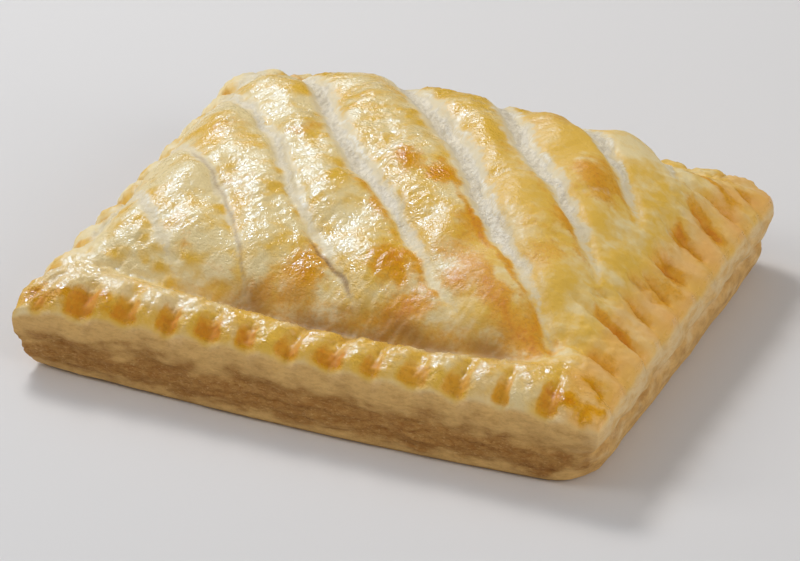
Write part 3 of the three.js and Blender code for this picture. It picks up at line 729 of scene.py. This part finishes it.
def glaze_mask(p, cut, groove):
    """How thick and glossy the glaze is: it is lost on dough, in grooves and in some zones."""
    lost = {
        "pale": cut.pale,
        "slit_and_painted_shade": np.clip(cut.slit_and_painted_shade, 0, 1),
        "groove": np.clip(groove, 0, 1),
        "valley": p.valley,
        "right_half": fade(p.u, 0.0, 0.5) * (1 - p.front_rim),
        "left_rim": p.left * p.rim * (1 - p.front_rim),
        "left_lid": p.lid * fade(-p.u, 0.4, 0.7),
    }
    glaze = 1 + GLAZE_FRONT_RIM * p.front_rim + GLAZE_LID * p.lid
    for name, zone in lost.items():
        glaze = glaze * (1 - GLAZE_LOSS[name] * zone)
    return glaze


def top_colours(p, cut):
    """The top's masks for the crust's material."""
    groove, right_groove = groove_masks(p)
    foot = hump(p.x, LEFT_FOOT) * fade(p.v, -0.8, -0.5)
    dough = np.maximum(cut.pale, np.maximum(CREAM_FOOT * foot, CREAM_CREASE * p.crease))
    # Painted shade, mixed in with the slit colour: the front valley's floor, the dents and the right rim's
    # folds
    valley = p.valley * (VALLEY_SHADE + grain((0.36, 8, 3, 65), p.x, p.y))
    hollow_shade = np.maximum(valley, DENT_SHADE * p.dent)
    peach = np.maximum(p.right_rim, FRONT_PEACH * p.front_rim)
    top = {
        "gold": np.clip(gold_mask(p), 0, 1),
        "brown": np.clip(brown_mask(p, cut, groove, right_groove), 0, 1),
        "cream": np.clip(dough * (1 - EDGE_UNCREAMED * cut.edge), 0, 1),
        "powder": np.clip(cut.floor, 0, 1),
        "lip": np.clip(cut.lip, 0, 1),
        "slit_and_painted_shade": np.clip(np.maximum(cut.slit_and_painted_shade, np.maximum(hollow_shade, FOLD_SHADE * p.fold)), 0, 1),
        "glaze": np.clip(glaze_mask(p, cut, groove), 0, GLAZE_MOST),
        "peach": np.clip(peach * (PEACH_LEVEL + grain((0.5, 7, 7, 64), p.x, p.y)), 0, 1),
    }
    return top | dict.fromkeys(SIDE_MASKS, np.zeros_like(p.x))


# The sides

def side_relief(around, height, share, torn, right):
    """Flaky leaves of the sides: smooth above, torn and layered in the lower half. Returns the relief, and
    masks of flakes, of shade painted in the cracks, and of flour."""
    level = 0 * around

    def over(size, pattern=layered, **settings):
        return grain(size, around, height, pattern, **settings)

    border = share + grain((0.14, 13, 1 / 3, 71), around, share, layered)
    border += grain((0.05, 2.5, 1 / 6, 79), around, share)
    foot = fade(share + grain((0.12, 9, 1, 83), around, level), 0.02, 0.3)
    flaky = torn * foot * (1 - fade(border, 0.28, 0.82))
    warp = height + over((0.9, 14, 6, 72)) + over((0.25, 2.4, 2, 73), noise)
    leaf = warp / LEAF_THICKNESS
    step = 1 - (leaf - np.floor(leaf))
    patchy = fade(over((1, 9, 4, 74)), -0.3, 0.5)
    foot_line = FOOT_LINE_AT + grain((0.7, 16, 1, 76), around, level)
    lifted = fade(grain((1, 9, 1, 77), around, level), -0.3, 0.4)
    seam_line = SEAM_AT + grain((0.05, 8, 1, 81), around, level, layered)
    parted = fade(grain((1, 11, 1, 82), around, level), -0.45, 0.1)
    open_seam = right * parted * bell(share - seam_line, SEAM_GAP_HALF)
    relief = flaky * (LEAF_RISE * patchy * step ** 2 - LEAF_SINK)
    relief += flaky * over((0.42, 2.4, 1.5, 75))
    relief += (1 - flaky) * over((0.2, 7, 4, 78))
    relief -= FOOT_DEPTH * lifted * bell(height - foot_line, FOOT_LINE_HALF)
    relief -= SEAM_GAP_DEPTH * open_seam
    # Painted shade: dark lines where leaves step, under the lifted line above the foot, and in the open
    # seam
    crack_shade = flaky * patchy * fade(step, 0.75, 1)
    crack_shade = np.maximum(crack_shade, FOOT_CRACK * lifted * bell(height - foot_line, FOOT_CRACK_HALF))
    crack_shade = np.maximum(crack_shade, SEAM_GAP_CRACK * open_seam)
    mottle = over((0.35, 5, 2.2, 80), layers=4) - MOTTLE_DROP
    flour = over((0.8, 7, 2.4, 84)) + FLOUR_RISE * (share - SEAM_AT)
    masks = {
        "flaky": flaky + mottle * fade(share, 0, 0.15),
        "crack_shade": crack_shade,
        "flour": right * fade(flour, -0.3, 0.6),
    }
    return relief, masks


def rim_loop():
    """The grid's outer points in order, as row and column numbers, from the front left corner."""
    front = [(0, i) for i in range(CELLS_X)]
    right = [(j, CELLS_X) for j in range(CELLS_Y)]
    back = [(CELLS_Y, i) for i in range(CELLS_X, 0, -1)]
    left = [(j, 0) for j in range(CELLS_Y, 0, -1)]
    return tuple(np.array(front + right + back + left).T)


def top_points():
    """The top's grid, its points on the solid's form, the same with relief, and its masks."""
    u, v = np.meshgrid(np.linspace(-1, 1, CELLS_X + 1), np.linspace(-1, 1, CELLS_Y + 1))
    px, py, out_x, out_y = plan(u, v, 1.0)
    p = top_place(u, v)
    tuck = EDGE_TUCK * np.clip(1 - p.inset / EDGE_TUCK_REACH, 0, 1) ** 2
    notch = by_side(CRIMP_NOTCH, out_x, out_y) * p.crimp
    pull = tuck + notch * np.exp(-p.inset / CRIMP_NOTCH_REACH)
    points = np.stack([px - pull * out_x, py - pull * out_y, top_height(u, v)], axis=-1)
    cut = slash_masks(p.x, p.y)
    relief = top_relief(p, cut) + rim_relief(p)
    normals = grid_normals(points)
    normals *= np.sign(normals[..., 2:3])
    lifted = points + normals * relief[..., None]
    return u, v, points, lifted, top_colours(p, cut)


def run_along(x, y):
    """The length run so far along each row of points."""
    steps = np.hypot(np.diff(x, axis=-1, prepend=x[..., :1]), np.diff(y, axis=-1, prepend=y[..., :1]))
    return np.cumsum(steps, axis=-1)


def base_ring(edge_u, edge_v, arc):
    """The base's border, where the rounded foot meets the table."""
    foot = 0.0 * edge_u
    x, y, out_x, out_y = plan(edge_u, edge_v, foot)
    inset = side_inset(foot, edge_u, edge_v, out_x, out_y, arc) + FOOT_ROUND
    return np.stack([x - out_x * inset, y - out_y * inset, foot], axis=-1)


def below_border(values):
    """A side mask without the top's own border, and with nothing on the base's."""
    return np.concatenate([values[1:], 0 * values[:1]])


def side_points(u, v, top, lifted, loop):
    """Rings of points down the side below the top's border, their shares of its height, and masks."""
    edge_u, edge_v, border = u[loop], v[loop], top[loop]
    share = np.linspace(1, FOOT_HEIGHT / EDGE_HEIGHT, SIDE_RINGS)[:, None] + 0 * edge_u
    cu, cv = edge_u + 0 * share, edge_v + 0 * share
    px, py, out_x, out_y = plan(cu, cv, share)
    notch = by_side(CRIMP_NOTCH, out_x, out_y) * crimp(cu, cv) * share ** NOTCH_POWER
    pull = side_inset(share, cu, cv, out_x, out_y, run_along(px, py)) + notch
    height = share * border[:, 2]
    points = np.stack([px - out_x * pull, py - out_y * pull, height], axis=-1)
    arc = run_along(border[:, 0], border[:, 1])
    front, right = np.clip(-out_y, 0, 1) ** 2, np.clip(out_x, 0, 1) ** 2
    torn = TORN + TORN_MORE_FRONT * front - TORN_LESS_RIGHT * right
    relief, masks = side_relief(arc + 0 * share, height, share, torn, right)
    relief = relief * (1 - fade(share, 0.9, 1))
    points += np.stack([out_x, out_y, 0 * out_x], axis=-1) * relief[..., None]
    points += (lifted[loop] - border) * (share ** BORDER_POWER)[..., None]
    rings = np.concatenate([points[1:], base_ring(edge_u, edge_v, arc)[None]])
    return rings, below_border(share), {name: below_border(mask) for name, mask in masks.items()}


def side_colours(side_share, side_masks, top_masks, loop):
    """The rim's own colours run over the edge and fade into the bare side."""
    over = fade(side_share, 0.82, 0.98)
    colours = {}
    for name, grid in top_masks.items():
        colours[name] = grid[loop] * (RIM_COLOUR_LEFT + (1 - RIM_COLOUR_LEFT) * over)
    colours["brown"] = top_masks["brown"][loop] * fade(side_share, 0.9, 1)
    colours["side"] = 1 - over
    colours["glaze"] = over
    colours.update(side_masks)
    return colours


def quads_of(rows):
    """Quads between neighbouring rows of point numbers."""
    a, b = rows[:-1, :-1], rows[:-1, 1:]
    c, d = rows[1:, 1:], rows[1:, :-1]
    return np.stack([a, b, c, d], axis=-1).reshape(-1, 4)


def make_mesh(name, points, faces, masks):
    mesh = bpy.data.meshes.new(name)
    mesh.from_pydata((points * MM).tolist(), [], faces)
    mesh.shade_smooth()
    for mask, values in masks.items():
        layer = mesh.attributes.new(mask, "FLOAT", "POINT")
        layer.data.foreach_set("value", values.astype(np.float32))
    mesh.validate()
    return mesh


def add_object(name, data):
    thing = bpy.data.objects.new(name, data)
    bpy.context.collection.objects.link(thing)
    return thing


def pastry_object():
    u, v, top, lifted, top_masks = top_points()
    loop = rim_loop()
    rings, side_share, side_only = side_points(u, v, top, lifted, loop)
    side_masks = side_colours(side_share, side_only, top_masks, loop)
    points = np.concatenate([lifted.reshape(-1, 3), rings.reshape(-1, 3), [[0, 0, 0]]])
    masks = {}
    for name in top_masks:
        masks[name] = np.concatenate([top_masks[name].ravel(), side_masks[name].ravel(), [0]])
    numbers = np.arange(lifted[..., 0].size).reshape(lifted.shape[:2])
    border = numbers[loop]
    lower = numbers.size + np.arange(rings[..., 0].size).reshape(rings.shape[:2])
    ring_rows = np.concatenate([border[None], lower])
    ring_rows = np.concatenate([ring_rows, ring_rows[:, :1]], axis=1)
    quads = np.concatenate([quads_of(numbers), quads_of(ring_rows)[:, ::-1]])
    base = ring_rows[-1]
    centre = np.full(len(base) - 1, len(points) - 1)
    triangles = np.stack([centre, base[1:], base[:-1]], axis=-1)
    low, high = points.min(axis=0), points.max(axis=0)
    points = points - [(low[0] + high[0]) / 2, (low[1] + high[1]) / 2, 0]
    mesh = make_mesh("pastry_crust", points, quads.tolist() + triangles.tolist(), masks)
    return add_object("pastry_crust", mesh)


# The crust's material

def linear(red, green, blue):
    """A colour given from 0 to 255 on screen, as light."""
    channels = [c / 255 for c in (red, green, blue)]
    return tuple(c / 12.92 if c <= 0.04045 else ((c + 0.055) / 1.055) ** 2.4 for c in channels) + (1.0,)


PALE_GLAZE = linear(237, 217, 164)
GOLD_GLAZE = linear(232, 188, 74)
PEACH_CRUST = linear(238, 182, 100)
ORANGE_CRUST = linear(226, 162, 34)
DEEP_CRUST = linear(218, 140, 12)
CREAM_DOUGH = linear(226, 210, 172)
POWDER_LIGHT = linear(234, 223, 200)
POWDER_DARK = linear(214, 202, 178)
# Pale torn dough, painted brighter as a highlight along the lips
LIP_DOUGH_AND_HIGHLIGHT = linear(238, 228, 205)
# Painted shade: the colour of slits, the front valley, dents and folds
SLIT_SHADE = linear(140, 98, 44)
SPECK_BROWN = linear(176, 118, 34)
SIDE_CREAM = linear(232, 188, 116)
SIDE_LEAF = linear(196, 148, 78)
SIDE_BROWN = linear(166, 110, 44)
# Dark brown for grit, and for shade painted in the sides' cracks
SIDE_DARK = linear(140, 84, 30)
SIDE_FLECK = linear(230, 192, 126)
SIDE_FLOUR = linear(236, 208, 158)

# How textures are turned along the slashes and stretched
SLASH_TURN = SLASH_ANGLE - math.pi / 2
STROKE_SCALE, POWDER_SCALE, RIPPLE_SCALE = (0.07, 0.32, 0.2), (1.0, 0.4, 0.7), (0.7, 0.95, 0.8)
FIBRE_SCALE = (0.42, 0.42, 1.0)
# Heights of the bump in millimetres, and how glossy the crust is
GLAZE_BUMP, POWDER_BUMP, SIDE_BUMP, SPECKLE_BUMP = -0.42, 0.5, 0.7, 0.05
POWDER_GLOSS, LIP_GLOSS, ROUGH_BARE, ROUGH_GLAZED, SPECULAR = 0.5, 0.3, 0.72, 0.12, 0.4


class Tree:
    """Adds nodes to a material and links them."""

    def __init__(self, material):
        material.use_nodes = True
        self.tree = material.node_tree
        self.tree.nodes.clear()

    def add(self, kind, inputs, output=0, **settings):
        node = self.tree.nodes.new(kind)
        for key, value in settings.items():
            setattr(node, key, value)
        for key, value in inputs.items():
            if isinstance(value, bpy.types.NodeSocket):
                self.tree.links.new(value, node.inputs[key])
            else:
                node.inputs[key].default_value = value
        return node.outputs[output] if node.outputs else None

    def mask(self, name):
        return self.add("ShaderNodeAttribute", {}, "Fac", attribute_name=name)

    def math(self, operation, a, b=0.0):
        return self.add("ShaderNodeMath", {0: a, 1: b}, operation=operation)

    def total(self, first, *others):
        for other in others:
            first = self.math("ADD", first, other)
        return first

    def product(self, first, *others):
        for other in others:
            first = self.math("MULTIPLY", first, other)
        return first

    def span(self, value, low, high, to_low=0.0, to_high=1.0):
        sizes = {"Value": value, "From Min": low, "From Max": high, "To Min": to_low, "To Max": to_high}
        return self.add("ShaderNodeMapRange", sizes, interpolation_type="SMOOTHSTEP")

    def mix(self, share, a, b):
        return self.add("ShaderNodeMix", {0: share, 6: a, 7: b}, 2, data_type="RGBA")

    def noise(self, place, scale, detail, roughness=0.55):
        sizes = {"Vector": place, "Scale": scale, "Detail": detail, "Roughness": roughness}
        return self.add("ShaderNodeTexNoise", sizes)

    def stretched(self, place, turn, scale):
        return self.add("ShaderNodeMapping", {"Vector": place, "Rotation": (0, 0, turn), "Scale": scale})

    def shade(self, inputs):
        shader = self.add("ShaderNodeBsdfPrincipled", inputs)
        self.add("ShaderNodeOutputMaterial", {"Surface": shader})


def glazed_colour(t, place, fine):
    """Glaze from pale to gold, peach and browned, with specks where it is browned."""
    stroke = t.noise(t.stretched(place, SLASH_TURN, STROKE_SCALE), 1.0, 2)
    gold = t.total(
        t.mask("gold"),
        t.span(stroke, 0.3, 0.7, -0.14, 0.14),
        t.span(t.noise(place, 0.16, 3), 0.3, 0.7, -0.15, 0.15),
        t.span(t.noise(place, 0.4, 3), 0.36, 0.64, -0.1, 0.1),
    )
    brown = t.total(
        t.mask("brown"),
        t.span(fine, 0.3, 0.7, -0.12, 0.12),
        t.span(stroke, 0.35, 0.7, -0.06, 0.1),
    )
    colour = t.mix(t.span(gold, 0.05, 0.95), PALE_GLAZE, GOLD_GLAZE)
    colour = t.mix(t.mask("peach"), colour, PEACH_CRUST)
    colour = t.mix(t.span(brown, 0.12, 0.75), colour, ORANGE_CRUST)
    colour = t.mix(t.span(brown, 0.7, 1.15), colour, DEEP_CRUST)
    specks = t.span(t.noise(place, 1.2, 2, 0.6), 0.48, 0.7, 0.0, 0.28)
    return t.mix(t.product(specks, t.span(brown, 0.1, 0.6)), colour, SPECK_BROWN)


def dough_colour(t, place, fine, colour):
    """Bare dough, powder, torn lips painted bright as a highlight, and painted shade in slits and hollows.
    """
    cream = t.total(t.mask("cream"), t.span(fine, 0.3, 0.7, -0.15, 0.15))
    colour = t.mix(t.span(cream, 0.1, 0.8), colour, CREAM_DOUGH)
    grains = t.noise(t.stretched(place, SLASH_TURN, POWDER_SCALE), 1.0, 3)
    powder = t.mix(t.span(grains, 0.36, 0.62), POWDER_DARK, POWDER_LIGHT)
    colour = t.mix(t.span(t.mask("powder"), 0.3, 0.95), colour, powder)
    colour = t.mix(t.span(t.mask("lip"), 0.2, 0.8), colour, LIP_DOUGH_AND_HIGHLIGHT)
    return t.mix(t.span(t.mask("slit_and_painted_shade"), 0.1, 1.0, 0.0, 0.75), colour, SLIT_SHADE)


def side_colour(t, fibres, leaf):
    """Bare sides: smooth cream, torn leaves, flour, painted shade in cracks, grit and flecks."""
    flaky = t.mask("flaky")
    streak = t.span(t.noise(fibres, 1.7, 4, 0.7), 0.42, 0.68, 0.0, 0.45)
    smooth = t.mix(streak, SIDE_CREAM, SIDE_LEAF)
    torn = t.mix(t.span(leaf, 0.3, 0.74), SIDE_BROWN, SIDE_LEAF)
    bare = t.mix(t.span(flaky, -0.2, 0.9), smooth, torn)
    bare = t.mix(t.product(t.mask("flour"), t.span(leaf, 0.3, 0.6, 0.25, 0.85)), bare, SIDE_FLOUR)
    bare = t.mix(t.span(t.mask("crack_shade"), 0.1, 1.0, 0.0, 0.6), bare, SIDE_DARK)
    grit = t.span(t.noise(fibres, 3.2, 3, 0.65), 0.36, 0.52, 0.4, 0.0)
    bare = t.mix(t.product(grit, t.span(flaky, 0.1, 0.8)), bare, SIDE_DARK)
    return t.mix(t.span(t.noise(fibres, 2.6, 2, 0.6), 0.56, 0.72, 0.0, 0.4), bare, SIDE_FLECK)


def crust_bump(t, place, leaf):
    """Grain too fine for the mesh: ridges of the glaze, powder, torn leaves and speckle."""
    ripple = t.noise(t.stretched(place, SLASH_TURN, RIPPLE_SCALE), 1.0, 2)
    ridge = t.math("ABSOLUTE", t.math("SUBTRACT", ripple, 0.5))
    height = t.total(
        t.product(ridge, t.mask("glaze"), GLAZE_BUMP),
        t.product(t.noise(place, 1.1, 2, 0.6), t.mask("powder"), POWDER_BUMP),
        t.product(leaf, t.mask("side"), SIDE_BUMP),
        t.product(t.noise(place, 1.6, 2, 0.6), SPECKLE_BUMP),
    )
    return t.add("ShaderNodeBump", {"Strength": 1.0, "Distance": MM, "Height": height})


def crust_roughness(t, fine):
    """Glossy where the glaze is thick, a little on powder and lips, and dull elsewhere."""
    gloss = t.math("SUBTRACT", t.mask("glaze"), t.span(fine, 0.35, 0.65, 0.0, 0.25))
    gloss = t.total(gloss, t.product(t.mask("powder"), POWDER_GLOSS), t.product(t.mask("lip"), LIP_GLOSS))
    return t.span(gloss, 0.0, GLAZE_MOST, ROUGH_BARE, ROUGH_GLAZED)


def crust_material():
    material = bpy.data.materials.new("baked_crust")
    t = Tree(material)
    metres = t.add("ShaderNodeTexCoord", {}, "Object")
    place = t.add("ShaderNodeVectorMath", {0: metres, "Scale": 1 / MM}, operation="SCALE")
    fibres = t.stretched(place, 0, FIBRE_SCALE)
    fine, leaf = t.noise(place, 0.9, 4), t.noise(fibres, 1.0, 5, 0.72)
    colour = dough_colour(t, place, fine, glazed_colour(t, place, fine))
    colour = t.mix(t.span(t.mask("side"), 0.1, 0.9), colour, side_colour(t, fibres, leaf))
    t.shade({
        "Base Color": colour,
        "Roughness": crust_roughness(t, fine),
        "Normal": crust_bump(t, place, leaf),
        "Specular IOR Level": SPECULAR,
    })
    return material


# Floor, light and camera

FLOOR_SIZE, FLOOR_COLOUR, FLOOR_ROUGHNESS = 6, (0.72, 0.71, 0.72, 1.0), 0.8
WORLD_STRENGTH = 0.33

# Lights: name, direction, distance and side in metres, watts, tint, and whether they light the crust
# itself and show in its gloss
LIGHTS = (
    ("key", (-0.52, 0.4, 0.8), 1.0, 0.24, 4.5, (1.0, 0.97, 0.92), True, False),
    ("gleam", (-0.62, 0.2, 0.75), 1.0, 0.2, 11.0, (0.46, 0.7, 1.0), False, True),
    ("sparkle", (-0.52, 0.55, 0.66), 1.0, 0.22, 3.2, (0.6, 0.8, 1.0), False, True),
    ("veil", (-0.74, 0.02, 0.67), 1.0, 0.8, 2.6, (0.82, 0.9, 1.0), False, True),
    ("window", (-0.75, -0.35, 0.55), 1.2, 0.5, 3.0, (1.0, 0.98, 0.94), True, True),
    ("fill", (0.9, -0.25, 0.45), 1.2, 0.8, 4.4, (1.0, 0.97, 0.92), True, True),
)


def plain_material(name, colour, roughness):
    material = bpy.data.materials.new(name)
    Tree(material).shade({"Base Color": colour, "Roughness": roughness})
    return material


def add_floor(size):
    half = size / 2
    mesh = bpy.data.meshes.new("floor")
    corners = [(-half, -half, 0), (half, -half, 0), (half, half, 0), (-half, half, 0)]
    mesh.from_pydata(corners, [], [(0, 1, 2, 3)])
    mesh.materials.append(plain_material("pale_floor", FLOOR_COLOUR, FLOOR_ROUGHNESS))
    floor = add_object("floor", mesh)


def add_softbox(name, direction, distance, side, watts, tint, diffuse, glossy):
    light = bpy.data.lights.new(name, "AREA")
    light.shape = "SQUARE"
    light.size = side
    light.energy = watts
    light.color = tint
    lamp = add_object(name, light)
    lamp.visible_diffuse, lamp.visible_glossy = diffuse, glossy
    towards = Vector(direction).normalized()
    lamp.location = towards * distance
    lamp.rotation_euler = towards.to_track_quat("Z", "Y").to_euler()


def set_world(strength):
    world = bpy.data.worlds.new("studio")
    world.use_nodes = True
    sky = world.node_tree.nodes["Background"]
    sky.inputs["Color"].default_value = (1.0, 1.0, 1.0, 1.0)
    sky.inputs["Strength"].default_value = strength
    bpy.context.scene.world = world
    world.cycles_visibility.glossy = False


CAMERA_AZIMUTH, CAMERA_ELEVATION = math.radians(23.445), math.radians(29.798)
CAMERA_TARGET = Vector((3.98, -11.75, 15.0)) * MM
CAMERA_DISTANCE = 1186 * MM
CAMERA_LENS, SENSOR_WIDTH = 248.76, 36


def add_camera():
    level = math.cos(CAMERA_ELEVATION)
    back = Vector((
        math.sin(CAMERA_AZIMUTH) * level, -math.cos(CAMERA_AZIMUTH) * level, math.sin(CAMERA_ELEVATION)
    ))
    camera = add_object("camera", bpy.data.cameras.new("camera"))
    camera.data.sensor_width = SENSOR_WIDTH
    camera.data.lens = CAMERA_LENS
    camera.location = CAMERA_TARGET + back * CAMERA_DISTANCE
    camera.rotation_euler = back.to_track_quat("Z", "Y").to_euler()
    bpy.context.scene.camera = camera


pastry = pastry_object()
pastry.data.materials.append(crust_material())
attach(pastry, "root")
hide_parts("pastry")

add_floor(FLOOR_SIZE)
for light in LIGHTS:
    add_softbox(*light)
set_world(WORLD_STRENGTH)
add_camera()
bpy.context.scene.view_settings.view_transform = "Standard"
